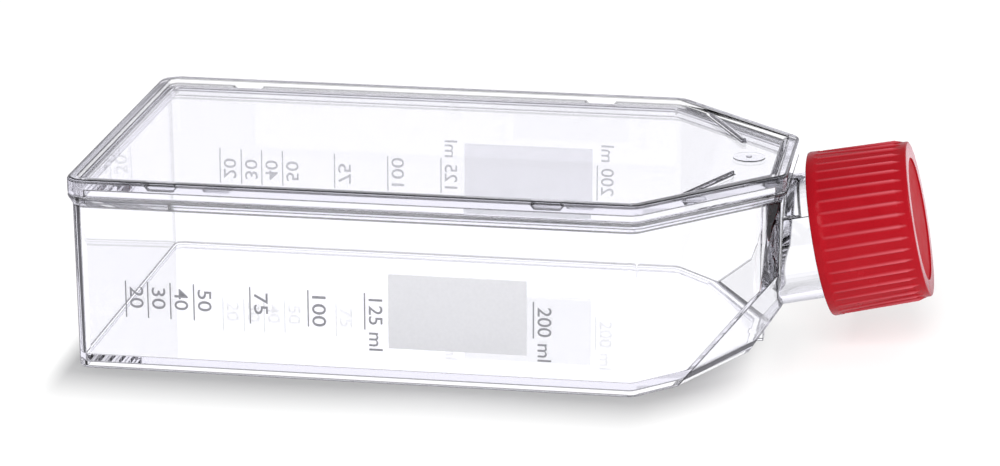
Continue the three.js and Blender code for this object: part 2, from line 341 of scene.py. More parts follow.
@dataclass(frozen=True)
class ScreenInk(Finish):
    """Solvent ink, screen printed in one pass: matt, a little open where the mesh threads were."""

    name: str = "grey_screen_ink"
    slot: str = "clear_polystyrene"
    colour: str = "#86868C"
    pale: str = "#9C9CA2"
    mesh_pitch: float = 0.35
    roughness: float = 0.55
    cover: float = 0.85

    def make(self) -> bpy.types.Material:
        """Makes the matt ink shader, mottled at the pitch of the screen's threads.

        Returns:
            The material.
        """
        material, tree = new_tree(self.name)
        place = add_node(tree, "ShaderNodeTexCoord")
        mottle = add_node(tree, "ShaderNodeTexNoise", {
            "Vector": place.outputs["Object"], "Scale": 1 / (self.mesh_pitch * MM), "Detail": 1.0,
        })
        colour = add_node(tree, "ShaderNodeMix", {
            0: mottle.outputs[0], 6: linear(self.colour), 7: linear(self.pale),
        }, data_type="RGBA")
        ink = add_node(tree, "ShaderNodeBsdfPrincipled", {
            "Base Color": colour.outputs[2], "Roughness": self.roughness, "Alpha": self.cover,
        })
        add_node(tree, "ShaderNodeOutputMaterial", {"Surface": ink.outputs[0]})
        return material


# ---------------------------------------------------------------- the flask's frame


@dataclass(frozen=True)
class FlaskFrame:
    """The flask's sizes that several pieces share, and the way from its frame to the part's."""

    length: float = 133.3
    width: float = 77.0
    height: float = 37.4
    wall_top: float = 32.0
    overhang: float = 0.95
    draft: float = 0.6
    plate_top: float = 36.3
    floor_top: float = 2.4
    foot_top: float = 1.1
    neck_cant: float = 12.0
    neck_height: float = 20.5275
    neck_radius: float = 12.2

    @property
    def start(self) -> float:
        """Metres along X at which the blind end stands."""
        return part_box("top_plate")[0].x

    def point(self, x: float, y: float, z: float) -> Vector:
        """Takes a point in the flask's millimetres to metres in the part's frame."""
        return Vector((self.start + x * MM, y * MM, z * MM))

    @property
    def foot_inset(self) -> float:
        """How far the drafted outer wall's foot lies inside the rim."""
        return self.overhang + self.wall_top * math.tan(math.radians(self.draft))

    def neck(self) -> Matrix:
        """Finds the neck's frame, whose +Z runs out along the neck.

        Returns:
            The matrix from millimetres in it to metres in the part's frame.
        """
        root = self.point(self.length - self.overhang, 0, self.neck_height)
        lean = Matrix.Rotation(math.radians(90 - self.neck_cant), 4, "Y")
        return Matrix.Translation(root) @ lean @ Matrix.Scale(MM, 4)

    def wall(self, side: Side) -> Matrix:
        """Takes a print's millimetres to metres on a long wall.

        Args:
            side: which long wall.

        Returns:
            The matrix. Its x runs along the flask to the right of someone who faces that wall from
            outside, its y up the wall, and its z out of it; its origin is at the blind end.
        """
        hand = side.value
        lean = math.radians(self.draft)
        right = Vector((-hand, 0, 0))
        up = Vector((0, hand * math.sin(lean), math.cos(lean)))
        out = right.cross(up)
        foot = self.point(0, hand * (self.width / 2 - self.foot_inset), 0)
        turn = Matrix((right, up, out)).transposed().to_4x4()
        return Matrix.Translation(foot) @ turn @ Matrix.Scale(MM, 4)


FLASK = FlaskFrame()


# ---------------------------------------------------------------- clear mouldings


@dataclass
class ClearMoulding:
    """A clear moulding that stands for its CAD node, with the node's shape and rounded edges.

    A mark is painted shade: how dark a face's colour is painted, from 0 to 1, in place of the light
    from behind that a real moulding turns away there. It is painted on the rounded edges, darker on
    the near side than on the far, on the blind end's upright corners, on the foot of the leaning
    facets under the neck and on the underside of the neck. The turns and leans that find those
    faces are parts of a unit normal.
    """

    node: str
    name: str
    edge_radius: float = 0.22
    edge_segments: int = 2
    least_turn: float = 25.0
    flat_turn: float = 0.5
    sharp: float = 60.0
    merge: float = 0.02
    # Painted shade, from 0 to 1: on the rounded edges, the blind end's corners, the foot of the
    # facets and the neck's underside; the near side is painted darker than the far.
    edge_painted_shade: float = 0.88
    top_edge_painted_shade: float = 0.993
    far_edge_painted_shade: float = 0.62
    upright_lean: float = 0.1
    corner_painted_shade: float = 0.995
    far_corner_painted_shade: float = 0.45
    corner_reach: float = 4.2
    corner_turn: float = 0.72
    corner_side: float = 0.1
    foot_painted_shade: float = 0.995
    foot_start: float = 113.0
    foot_side: float = 0.2
    foot_lean: tuple[float, float] = (-0.7, -0.1)
    neck_painted_shade: float = 0.8
    neck_turn: float = 0.8

    def mark(self, face: bmesh.types.BMFace, start: float) -> float:
        """Finds the painted shade of a face of the moulding, its rounded edges apart.

        Args:
            face: a face of the rounded mesh.
            start: metres along X at which the blind end stands.

        Returns:
            The painted shade, 0 for a plain face.
        """
        middle = face.calc_center_median()
        from_end = (middle.x - start) / MM
        turn = face.normal
        upright = abs(turn.z) < self.upright_lean and from_end < self.corner_reach
        if upright and turn.x < -self.corner_turn and abs(turn.y) > self.corner_side:
            return self.corner_painted_shade if turn.y < 0 else self.far_corner_painted_shade
        steep, slight = self.foot_lean
        leaning = steep < turn.z < slight and abs(turn.y) > self.foot_side
        at_foot = FLASK.foot_top * MM < middle.z < FLASK.floor_top * MM
        if leaning and at_foot and from_end > self.foot_start:
            return self.foot_painted_shade
        if from_end > FLASK.length and turn.z < -self.neck_turn:
            return self.neck_painted_shade * (-turn.z - self.neck_turn) / (1 - self.neck_turn)
        return 0.0

    def shape(self) -> bmesh.types.BMesh:
        """Copies the node's mesh, joins its loose triangles, rounds its edges and marks its faces
        with painted shade.

        Returns:
            The rounded mesh.
        """
        bm = bmesh.new()
        bm.from_mesh(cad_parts[self.node].data)
        # The face layer "edge" holds each face's painted shade.
        dark = bm.faces.layers.float.new("edge")
        bmesh.ops.remove_doubles(bm, verts=bm.verts, dist=self.merge * MM)
        bmesh.ops.dissolve_limit(
            bm, angle_limit=math.radians(self.flat_turn), verts=bm.verts, edges=bm.edges,
        )
        for height in (FLASK.foot_top, FLASK.floor_top):
            bmesh.ops.bisect_plane(
                bm, geom=bm.verts[:] + bm.edges[:] + bm.faces[:],
                plane_co=FLASK.point(0, 0, height), plane_no=(0, 0, 1), dist=TOUCH * MM,
            )
        sharp = [
            edge for edge in bm.edges
            if edge.is_manifold and edge.calc_face_angle() > math.radians(self.least_turn)
        ]
        rounded = bmesh.ops.bevel(
            bm, geom=sharp, offset=self.edge_radius * MM, offset_type="OFFSET",
            segments=self.edge_segments, profile=0.5, affect="EDGES", clamp_overlap=False,
            material=-1,
        )
        start = FLASK.start
        for face in bm.faces:
            face[dark] = self.mark(face, start)
        # The rounded edges are painted dark: darkest along the near top edge, lighter on the far
        # side.
        top = (FLASK.height - self.edge_radius) * MM
        for face in rounded["faces"]:
            middle = face.calc_center_median()
            near = self.top_edge_painted_shade if middle.z > top else self.edge_painted_shade
            face[dark] = max(face[dark], near if middle.y < 0 else self.far_edge_painted_shade)
        return bm

    def build(self, finish: Finish) -> bpy.types.Object:
        """Makes the moulding and hides the node it stands for.

        Args:
            finish: the clear plastic.

        Returns:
            The moulding.
        """
        piece = mesh_object(self.name, self.shape(), sharp=self.sharp)
        flat = piece.modifiers.new("flat_faces", "WEIGHTED_NORMAL")
        flat.mode = "FACE_AREA"
        flat.weight = 100
        flat.thresh = 1e-5
        flat.keep_sharp = True
        dress(piece, finish, Body.FLASK)
        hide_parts(self.node)
        return piece


@dataclass
class GateLand:
    """The low round land on the plate where the plastic entered the mould, with its stub."""

    x: float = 124.7
    y: float = 0.7
    radius: float = 3.1
    rise: float = 0.2
    stub_radius: float = 0.55
    stub_rise: float = 0.35
    sink: float = 0.05
    points: int = 64
    # Painted shade on the land's upright sides, as on the mouldings' tight corners.
    mark: float = 0.9

    def build(self, finish: Finish) -> bpy.types.Object:
        """Makes the land and its stub as one clear piece.

        Args:
            finish: the clear plastic.

        Returns:
            The piece.
        """
        bm = bmesh.new()
        dark = bm.faces.layers.float.new("edge")
        for radius, rise in ((self.radius, self.rise), (self.stub_radius, self.stub_rise)):
            depth = rise + self.sink
            foot = FLASK.point(self.x, self.y, FLASK.plate_top + (rise - self.sink) / 2)
            bmesh.ops.create_cone(
                bm, cap_ends=True, segments=self.points, radius1=radius * MM, radius2=radius * MM,
                depth=depth * MM, matrix=Matrix.Translation(foot),
            )
        for face in bm.faces:
            # The upright sides are painted dark, a painted shade; the flat tops stay clear.
            face[dark] = 0.0 if abs(face.normal.z) > 0.5 else self.mark
        return dress(mesh_object("gate_land", bm), finish, Body.FLASK)


# ---------------------------------------------------------------- prints


INK_THICKNESS = 0.02
INK_LIFT = 0.01


@dataclass(frozen=True)
class Mark:
    """One volume mark: the place of its line, its words, and how long the words are."""

    x: float
    words: str
    length: float


@dataclass
class PrintedScale:
    """The volume marks on one long wall, to be read with the flask standing on its blind end."""

    side: Side
    marks: tuple[Mark, ...]
    low: float
    high: float
    line_width: float = 0.26
    digit_height: float = 2.65
    line_gap: float = 0.75
    words_start: float = 1.1
    boldness: float = 0.006
    curve_steps: int = 4
    thickness: float = INK_THICKNESS
    lift: float = INK_LIFT

    def stroke(self, bm: bmesh.types.BMesh, mark: Mark) -> None:
        """Adds a mark's line to the print.

        Args:
            bm: the print, drawn as it lies on the near wall.
            mark: the mark.
        """
        middle = (self.low + self.high) / 2
        size = Matrix.Diagonal((self.line_width, self.high - self.low, self.thickness, 1))
        at = Matrix.Translation((mark.x, middle, self.lift + self.thickness / 2))
        bmesh.ops.create_cube(bm, size=1, matrix=at @ size)

    def words(self, bm: bmesh.types.BMesh, mark: Mark) -> None:
        """Adds a mark's words, running along its line with their feet towards it.

        Args:
            bm: the print, drawn as it lies on the near wall.
            mark: the mark.
        """
        curve = bpy.data.curves.new(mark.words, "FONT")
        curve.body = mark.words
        curve.extrude = self.thickness / 2
        curve.resolution_u = self.curve_steps
        curve.offset = self.boldness
        text = bpy.data.objects.new(mark.words, curve)
        bpy.context.scene.collection.objects.link(text)
        bpy.context.view_layer.update()
        mesh = bpy.data.meshes.new_from_object(text)
        corners = [v.co for v in mesh.vertices]
        left = min(c.x for c in corners)
        wide = max(c.x for c in corners) - left
        foot = min(c.y for c in corners)
        tall = max(c.y for c in corners) - foot
        shrink = Matrix.Diagonal((mark.length / wide, self.digit_height / tall, 1, 1))
        turn = Matrix.Rotation(-math.pi / 2, 4, "Z")
        at = Matrix.Translation((
            mark.x + self.line_gap, self.high - self.words_start, self.lift + self.thickness / 2,
        ))
        mesh.transform(at @ turn @ shrink @ Matrix.Translation((-left, -foot, 0)))
        bm.from_mesh(mesh)
        bpy.data.objects.remove(text)
        bpy.data.curves.remove(curve)
        bpy.data.meshes.remove(mesh)

    def build(self, name: str, finish: Finish) -> bpy.types.Object:
        """Makes the whole print on its wall.

        Args:
            name: the piece's name.
            finish: the ink.

        Returns:
            The print, one mesh.
        """
        bm = bmesh.new()
        for mark in self.marks:
            self.stroke(bm, mark)
            self.words(bm, mark)
        if self.side is Side.FAR:
            turn = Matrix.Rotation(math.pi, 4, "Z")
            back = Matrix.Translation((0, self.low + self.high, 0))
            bmesh.ops.transform(bm, matrix=back @ turn, verts=bm.verts)
        bmesh.ops.transform(bm, matrix=FLASK.wall(self.side), verts=bm.verts)
        bmesh.ops.remove_doubles(bm, verts=bm.verts, dist=TOUCH * MM)
        return dress(mesh_object(name, bm), finish, Body.FLASK)


@dataclass
class WritingPatch:
    """The frosted field on a long wall that takes a pencil."""

    side: Side
    start: float
    end: float
    low: float
    high: float
    thickness: float = INK_THICKNESS
    lift: float = INK_LIFT

    def build(self, name: str, finish: Finish) -> bpy.types.Object:
        """Makes the patch on its wall.

        Args:
            name: the piece's name.
            finish: the ink.

        Returns:
            The patch.
        """
        size = Matrix.Diagonal((self.end - self.start, self.high - self.low, self.thickness, 1))
        at = Matrix.Translation((
            -self.side.value * (self.start + self.end) / 2, (self.low + self.high) / 2,
            self.lift + self.thickness / 2,
        ))
        bm = bmesh.new()
        bmesh.ops.create_cube(bm, size=1, matrix=FLASK.wall(self.side) @ at @ size)
        return dress(mesh_object(name, bm), finish, Body.FLASK)


# ---------------------------------------------------------------- screw cap


@dataclass(frozen=True)
class Ring:
    """One ring of the cap's section: its plain radius, its height, and its ribs.

    panel is how deep the panels between the ribs lie, sunk how far the ribs are let down into them,
    and arc how far the panels' middles are drawn towards the open end.
    """

    radius: float
    height: float
    panel: float = 0.0
    sunk: float = 0.0
    arc: float = 0.0


@dataclass
class ScrewCap:
    """The ribbed cap: a skirt with grip ribs, a shallow front recess and a plug seal inside."""

    standoff: float = 6.8
    height: float = 19.1
    skirt_radius: float = 15.9
    draft: float = 1.5
    inner_radius: float = 13.7
    ceiling: float = 16.5
    rib_count: int = 42
    rib_shape: tuple[float, ...] = (1.0, 0.8, 0.22)
    points_per_rib: int = 14
    panel_start: float = 0.2
    panel_end: float = 0.46
    rib_sink: float = 0.06
    band: float = 1.9
    slope: float = 0.45
    scallop: float = 0.35
    front_band: float = 0.95
    tip_length: float = 1.7
    tip_steps: int = 4
    edge_radius: float = 0.3
    edge_steps: int = 5
    edge_lead: float = 0.02
    rim_width: float = 3.6
    rim_break: float = 0.08
    recess_depth: float = 0.3
    plug_outer: float = 10.3
    plug_inner: float = 9.2
    plug_length: float = 3.2
    plug_lead: float = 0.4
    soft: float = 0.2
    sharp: float = 35.0

    def crest(self, height: float) -> float:
        """Radius of the rib crests at a height above the open end."""
        return self.skirt_radius - height * math.tan(math.radians(self.draft))

    def panel(self, height: float) -> float:
        """Depth of the panels below the rib crests, which grows towards the front."""
        share = (height - self.band) / (self.height - self.front_band - self.band)
        return self.panel_start + (self.panel_end - self.panel_start) * share

    def rib_rings(self) -> list[Ring]:
        """Draws the ribbed part of the skirt, from the plain band to the ribs' pointed tips.

        Returns:
            Its rings, upwards.
        """
        low = self.band + self.slope
        rise = low + self.slope
        high = self.height - self.front_band
        tip = high - self.tip_length
        rings = [
            Ring(self.crest(self.band), self.band, 0.0, 0.0, self.scallop),
            Ring(self.crest(low), low, self.panel(low), self.panel_start / 2, self.scallop),
            Ring(self.crest(rise), rise, self.panel(rise), self.rib_sink),
        ]
        for step in range(self.tip_steps + 1):
            share = step / self.tip_steps
            at = tip + self.tip_length * share
            rings.append(Ring(self.crest(at), at, self.panel(at), self.panel(at) * share))
        return rings

    def front_rings(self) -> list[Ring]:
        """Draws the plain front band, the rounded front edge, the rim and the recess's wall.

        Returns:
            Their rings, from the skirt inwards.
        """
        high = self.height - self.front_band
        face = self.crest(self.height) - self.panel_end
        rim = self.crest(self.height) - self.rim_width
        floor = self.height - self.recess_depth
        edge = [
            Ring(
                face - self.edge_radius * (1 - math.cos(turn)),
                self.height - self.edge_radius * (1 - math.sin(turn)),
            )
            for turn in (
                math.radians(90 * step / self.edge_steps) for step in range(self.edge_steps + 1)
            )
        ]
        return [
            Ring(self.crest(high) - self.panel_end, high + self.edge_lead),
            *edge,
            Ring(rim + self.rim_break, self.height),
            Ring(rim, self.height - self.rim_break),
            Ring(rim, floor),
        ]

    def rings(self) -> list[Ring]:
        """Draws the section from the inside edge of the open end round to the recess's floor.

        Returns:
            Its rings in order.
        """
        soft = self.soft
        return [
            Ring(self.inner_radius, soft),
            Ring(self.inner_radius + soft, 0.0),
            Ring(self.crest(0) - 2 * soft, 0.0),
            Ring(self.crest(0) - 0.6 * soft, 0.5 * soft),  # halfway round the open end's edge
            Ring(self.crest(0), 2 * soft),
            Ring(self.crest(self.band), self.band - soft, 0.0, 0.0, self.scallop),
            *self.rib_rings(),
            *self.front_rings(),
        ]

    def inner_rings(self) -> list[Ring]:
        """Draws the section inside, from the skirt's wall over the ceiling and round the plug.

        Returns:
            Its rings, from the skirt inwards.
        """
        tip = self.ceiling - self.plug_length
        soft = self.soft
        return [
            Ring(self.inner_radius, self.ceiling - soft),
            Ring(self.inner_radius - soft, self.ceiling),
            Ring(self.plug_outer, self.ceiling),
            Ring(self.plug_outer, tip + 2 * self.plug_lead),
            Ring(self.plug_outer - self.plug_lead, tip),
            Ring(self.plug_inner + soft, tip),
            Ring(self.plug_inner, tip + soft),
            Ring(self.plug_inner, self.ceiling - soft),
            Ring(self.plug_inner - soft, self.ceiling),
        ]

    def place(self, index: int, ring: Ring) -> tuple[float, float]:
        """Finds where one point of a ring lies.

        Args:
            index: the point's number round the ring; a rib's crest is at every multiple of
                points_per_rib.
            ring: the ring.

        Returns:
            Its radius and its height.
        """
        step = index % self.points_per_rib
        from_rib = min(step, self.points_per_rib - step)
        shape = self.rib_shape[from_rib] if from_rib < len(self.rib_shape) else 0.0
        rise = max(0.0, ring.panel * shape - ring.sunk)
        half = self.points_per_rib / 2
        return ring.radius - ring.panel + rise, ring.height - ring.arc * (from_rib / half) ** 0.5

    def next_ring(
        self, bm: bmesh.types.BMesh, edges: list[bmesh.types.BMEdge], ring: Ring
    ) -> list[bmesh.types.BMEdge]:
        """Extrudes a ring of edges to the next ring of the section.

        Args:
            bm: the cap.
            edges: the ring that the skin ends at now.
            ring: the next one.

        Returns:
            The new ring's edges.
        """
        made = bmesh.ops.extrude_edge_only(bm, edges=edges)["geom"]
        count = self.rib_count * self.points_per_rib
        rib = bm.verts.layers.float["rib"]
        for vert in (item for item in made if isinstance(item, bmesh.types.BMVert)):
            angle = math.atan2(vert.co.y, vert.co.x)
            reach, height = self.place(round(angle / (2 * math.pi) * count) % count, ring)
            vert.co = (reach * math.cos(angle), reach * math.sin(angle), height)
            # How much paler the crest is painted: painted light that grows with the rib's height
            # above its panel.
            vert[rib] = max(0.0, reach - ring.radius + ring.panel) / self.panel_end
        return [item for item in made if isinstance(item, bmesh.types.BMEdge)]

    def skin(self) -> bmesh.types.BMesh:
        """Draws the cap's closed skin, open end down.

        Returns:
            The skin in millimetres in the cap's own frame. The recess's floor has the second
            finish.
        """
        bm = bmesh.new()
        # The point attribute "rib" carries the painted light of the rib crests.
        bm.verts.layers.float.new("rib")
        outer = self.rings()
        count = self.rib_count * self.points_per_rib
        bmesh.ops.create_circle(bm, cap_ends=False, segments=count, radius=outer[0].radius)
        bmesh.ops.translate(bm, verts=bm.verts, vec=(0, 0, outer[0].height))
        first = list(bm.edges)
        edges = first
        for ring in outer[1:]:
            edges = self.next_ring(bm, edges, ring)
        for face in bmesh.ops.contextual_create(bm, geom=edges)["faces"]:
            face.material_index = 1
        edges = first
        for ring in self.inner_rings():
            edges = self.next_ring(bm, edges, ring)
        bmesh.ops.contextual_create(bm, geom=edges)
        bmesh.ops.recalc_face_normals(bm, faces=bm.faces)
        return bm

    def build(self, finish: Finish, disc: Finish) -> bpy.types.Object:
        """Makes the cap on the neck and hides the node it stands for.

        Args:
            finish: the finish of the cap.
            disc: the finish of the recess's floor.

        Returns:
            The cap.
        """
        bm = self.skin()
        seat = FLASK.neck() @ Matrix.Translation((0, 0, self.standoff))
        bmesh.ops.transform(bm, matrix=seat, verts=bm.verts)
        piece = dress(mesh_object("ribbed_cap", bm, sharp=self.sharp), finish, Body.CAP)
        piece.data.materials.append(disc.material())
        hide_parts("screw_cap")
        return piece


# ---------------------------------------------------------------- threads


@dataclass
class Thread:
    """One start of a round thread along the neck's axis, its section centred at its radius."""

    radius: float
    height: float
    start: float
    pitch: float = 4.0
    turns: float = 1.6
    width: float = 1.1
    profile_points: int = 12
    steps_per_turn: int = 64

    def build(self, name: str, finish: Finish, body: Body) -> bpy.types.Object:
        """Sweeps the thread's oval section up its helix.

        Args:
            name: the piece's name.
            finish: the finish it wears.
            body: the CAD body it moves with.

        Returns:
            The thread.
        """
        bm = bmesh.new()
        section = (
            Matrix.Translation((self.radius, 0, self.start)) @ Matrix.Rotation(math.pi / 2, 4, "X")
            @ Matrix.Diagonal((self.height, self.width / 2, 1, 1))
        )
        bmesh.ops.create_circle(
            bm, cap_ends=True, radius=1, segments=self.profile_points, matrix=section,
        )
        steps = round(self.turns * self.steps_per_turn)
        bmesh.ops.spin(
            bm, geom=bm.verts[:] + bm.edges[:] + bm.faces[:], cent=(0, 0, 0), axis=(0, 0, 1),
            dvec=(0, 0, self.pitch * self.turns / steps), angle=math.tau * self.turns, steps=steps,
        )
        bmesh.ops.recalc_face_normals(bm, faces=bm.faces)
        bmesh.ops.transform(bm, matrix=FLASK.neck(), verts=bm.verts)
        return dress(mesh_object(name, bm), finish, body)


# ---------------------------------------------------------------- studio

CLEAR_PIECES = ("flask_tray", "welded_plate", "gate_land", "neck_thread")
OPAQUE_PIECES = ("scale_near", "scale_far", "patch_near", "patch_far", "ribbed_cap", "cap_thread")


@dataclass(frozen=True)
class Lamp:
    """A soft lamp: its place and sides in the flask's millimetres, and its power in watts.

    It lights some objects only and is shaded by some only, as with flags and cards in a studio.
    """

    name: str
    at: tuple[float, float, float]
    size: tuple[float, float]
    power: float
    lights: tuple[str, ...]
    shaded_by: tuple[str, ...]
    reflected: bool = False

    def group(self, use: str, names: tuple[str, ...]) -> bpy.types.Collection:
        """Collects objects for one use of this lamp.

        Args:
            use: what the collection is for.
            names: the objects' names.

        Returns:
            The collection.
        """
        group = bpy.data.collections.new(f"{self.name}_{use}")
        for name in names:
            group.objects.link(bpy.data.objects[name])
        return group

    def build(self) -> None:
        """Adds the lamp, facing the middle of the flask."""
        data = bpy.data.lights.new(self.name, "AREA")
        data.shape = "RECTANGLE"
        data.size, data.size_y = (side * MM for side in self.size)
        data.energy = self.power
        lamp = bpy.data.objects.new(self.name, data)
        lamp.location = FLASK.point(*self.at)
        aim = FLASK.point(FLASK.length / 2, 0, FLASK.height / 2) - lamp.location
        lamp.rotation_euler = aim.to_track_quat("-Z", "Y").to_euler()
        lamp.visible_glossy = self.reflected
        bpy.context.scene.collection.objects.link(lamp)
        lamp.light_linking.receiver_collection = self.group("lit", self.lights)
        lamp.light_linking.blocker_collection = self.group("shade", self.shaded_by)


# The first lamp shows the cap's form. The next two give the floor the shadows of the clear body and
# of the cap. The last two light the prints' inner sides, through the clear walls.
LAMPS = (
    Lamp(
        "lamp_front", (520.0, -650.0, 640.0), (450.0, 450.0), 5.8,
        OPAQUE_PIECES, OPAQUE_PIECES + CLEAR_PIECES, reflected=True,
    ),
    Lamp(
        "lamp_floor", (66.0, 350.0, 1420.0), (160.0, 720.0), 24.5,
        ("floor",), ("flask_tray", "welded_plate"),
    ),
    Lamp(
        "lamp_floor_front", (140.0, -800.0, 600.0), (520.0, 520.0), 9.0,
        ("floor",), ("ribbed_cap",),
    ),
    Lamp(
        "lamp_inner", (66.0, -900.0, 500.0), (500.0, 500.0), 12.5,
        ("scale_far", "patch_far"), ("ribbed_cap",),
    ),
    Lamp(
        "lamp_back", (66.0, 900.0, 500.0), (500.0, 500.0), 7.0,
        ("scale_near", "patch_near"), ("ribbed_cap",),
    ),
)


@dataclass
class Studio:
    """A pale floor, soft lamps, a white surround and the camera.

    What the clear plastic passes or mirrors has levels of its own: straight is the level seen
    through it, and mirrored is the colour of what it mirrors. levels gives the share of brightest
    that a ray sees after so many reflections, and outside the part of that for one that never went
    in. A card brightens the mirrored floor behind the neck, and flags darken what is mirrored from
    beyond the blind end and from the front. Places on the floor are metres, and those in the
    surround are parts of a unit direction.
    """

    camera_at: tuple[float, float, float] = (186.84, -672.24, 231.39)
    camera_turn: float = 9.32
    camera_fall: float = 17.32
    lens: float = 132.0
    sensor: float = 36.0
    floor_reach: float = 3000.0
    floor_colour: str = "#C2C2C2"
    tooth_length: float = 1.1111
    tooth_height: float = 0.05
    tooth_strength: float = 0.1
    surround: float = 0.55
    mirrored: str = "#F0EFF6"
    straight: float = 1.18
    outside: float = 0.5
    deepest: float = 16.0
    brightest: float = 1.55
    levels: tuple[tuple[float, float], ...] = (
        (1.0, 1.0), (2.0, 0.03), (3.0, 0.28), (5.0, 0.48), (9.0, 0.78),
    )
    card: float = 1.2
    card_at: tuple[float, float, float] = (0.13, 0.13, 0.0)
    card_fade: tuple[float, float] = (0.05, 0.11)
    flag: float = 0.03
    floor_flag: tuple[float, float] = (-0.2, -0.15)
    wall_flag: tuple[float, float] = (-0.8, -0.5)
    front_flag: tuple[float, float] = (-0.2, 0.6)
    ceiling: float = 0.45
    ceiling_fade: tuple[float, float] = (0.3, 0.55)
    guided: float = 6.5
    bounces: int = 40

    def camera(self) -> None:
        """Adds the camera and makes it the scene's."""
        data = bpy.data.cameras.new("camera")
        data.lens = self.lens
        data.sensor_width = self.sensor
        data.sensor_fit = "HORIZONTAL"
        data.clip_start = 0.01
        camera = bpy.data.objects.new("camera", data)
        camera.location = FLASK.point(*self.camera_at)
        camera.rotation_euler = (
            math.radians(90 - self.camera_fall), 0, math.radians(self.camera_turn),
        )
        bpy.context.scene.collection.objects.link(camera)
        bpy.context.scene.camera = camera

    def by_depth(self, tree: bpy.types.NodeTree, path: bpy.types.Node) -> bpy.types.Node:
        """Adds the level that a reflection sees.

        One bounce sees it white and two see it dark, which draws the thin dark lines of the edges.
        Light that is guided along a wall is pale again.

        Args:
            tree: the node tree.
            path: its Light Path node.

        Returns:
            The node whose first output is the level.
        """
        share = add_node(tree, "ShaderNodeMath", {
            0: path.outputs["Glossy Depth"], 1: 1 / self.deepest,
        }, operation="MULTIPLY")
        ramp = add_node(tree, "ShaderNodeValToRGB", {0: share.outputs[0]})
        stops = ramp.color_ramp.elements
        for index, (depth, grey) in enumerate(self.levels):
            stop = stops[index] if index < len(stops) else stops.new(depth / self.deepest)
            stop.position = depth / self.deepest
            stop.color = (grey, grey, grey, 1.0)
        within = add_node(tree, "ShaderNodeMapRange", {
            "Value": path.outputs["Transmission Depth"], "From Min": 0.0, "From Max": 1.0,
            "To Min": self.outside * self.brightest, "To Max": self.brightest,
        })
        return add_node(tree, "ShaderNodeMath", {
            0: ramp.outputs[0], 1: within.outputs[0],
        }, operation="MULTIPLY")

    def flagged(
        self, tree: bpy.types.NodeTree, level: bpy.types.Node, along: bpy.types.NodeSocket,
        fade: tuple[float, float],
    ) -> bpy.types.Node:
        """Darkens a level on the low side of a fade, as a flag does.

        Args:
            tree: the node tree.
            level: the node whose first output is the level.
            along: the coordinate that the fade follows.
            fade: where the flag ends, and where the level is whole.

        Returns:
            The node whose first output is the darkened level.
        """
        flag = add_node(tree, "ShaderNodeMapRange", {
            "Value": along, "From Min": fade[0], "From Max": fade[1],
            "To Min": self.flag, "To Max": 1.0,
        }, interpolation_type="SMOOTHSTEP")
        return add_node(tree, "ShaderNodeMath", {
            0: level.outputs[0], 1: flag.outputs[0],
        }, operation="MULTIPLY")

    def through_plastic(
        self, tree: bpy.types.NodeTree, path: bpy.types.Node, level: bpy.types.Node
    ) -> tuple[bpy.types.NodeSocket, bpy.types.NodeSocket, bpy.types.NodeSocket]:
        """Adds what a ray sees that the clear plastic passed or mirrored.

        Args:
            tree: the node tree.
            path: its Light Path node.
            level: the node whose first output is the level that a mirrored ray sees.

        Returns:
            The level, its colour, and 1 where the ray is such a ray at all.
        """
        bounced = add_node(tree, "ShaderNodeMath", {
            0: path.outputs["Glossy Depth"], 1: 0.5,
        }, operation="GREATER_THAN")
        bent = add_node(tree, "ShaderNodeMath", {
            0: path.outputs["Is Transmission Ray"], 1: path.outputs["Is Glossy Ray"],
        }, operation="MAXIMUM")
        tinted = add_node(tree, "ShaderNodeMath", {
            0: bounced.outputs[0], 1: bent.outputs[0],
        }, operation="MULTIPLY")
        seen = add_node(tree, "ShaderNodeMix", {
            0: bounced.outputs[0], 2: self.straight, 3: level.outputs[0],
        })
        hue = add_node(tree, "ShaderNodeMix", {
            0: tinted.outputs[0], 6: (1, 1, 1, 1), 7: linear(self.mirrored),
        }, data_type="RGBA")
        return seen.outputs[0], hue.outputs[2], bent.outputs[0]

    def floor(self) -> None:
        """Adds the floor: matt paper whose fine tooth softens the shadow, white beyond it."""
        bm = bmesh.new()
        bmesh.ops.create_grid(bm, x_segments=1, y_segments=1, size=self.floor_reach * MM)
        floor = mesh_object("floor", bm)
        material, tree = new_tree("floor_paper")
        place = add_node(tree, "ShaderNodeTexCoord")
        tooth = add_node(tree, "ShaderNodeTexNoise", {
            "Vector": place.outputs["Object"], "Scale": 1 / (self.tooth_length * MM), "Detail": 2.0,
        })
        relief = add_node(tree, "ShaderNodeBump", {
            "Height": tooth.outputs[0], "Strength": self.tooth_strength,
            "Distance": self.tooth_height * MM,
        })
        paper = add_node(tree, "ShaderNodeBsdfDiffuse", {
            "Color": linear(self.floor_colour), "Normal": relief.outputs[0],
        })
        path = add_node(tree, "ShaderNodeLightPath")
        split = add_node(tree, "ShaderNodeSeparateXYZ", {0: place.outputs["Object"]})
        level = self.flagged(tree, self.by_depth(tree, path), split.outputs["X"], self.floor_flag)
        reach = add_node(tree, "ShaderNodeVectorMath", {
            0: place.outputs["Object"], 1: self.card_at,
        }, operation="DISTANCE")
        card = add_node(tree, "ShaderNodeMapRange", {
            "Value": reach.outputs["Value"], "From Min": self.card_fade[0],
            "From Max": self.card_fade[1], "To Min": self.card, "To Max": 0.0,
        }, interpolation_type="SMOOTHSTEP")
        brighter = add_node(tree, "ShaderNodeMath", {
            0: level.outputs[0], 1: card.outputs[0],
        }, operation="ADD")
        strength, hue, bent = self.through_plastic(tree, path, brighter)
        glow = add_node(tree, "ShaderNodeEmission", {"Color": hue, "Strength": strength})
        surface = add_node(tree, "ShaderNodeMixShader", {
            0: bent, 1: paper.outputs[0], 2: glow.outputs[0],
        })
        add_node(tree, "ShaderNodeOutputMaterial", {"Surface": surface.outputs[0]})
        floor.data.materials.append(material)

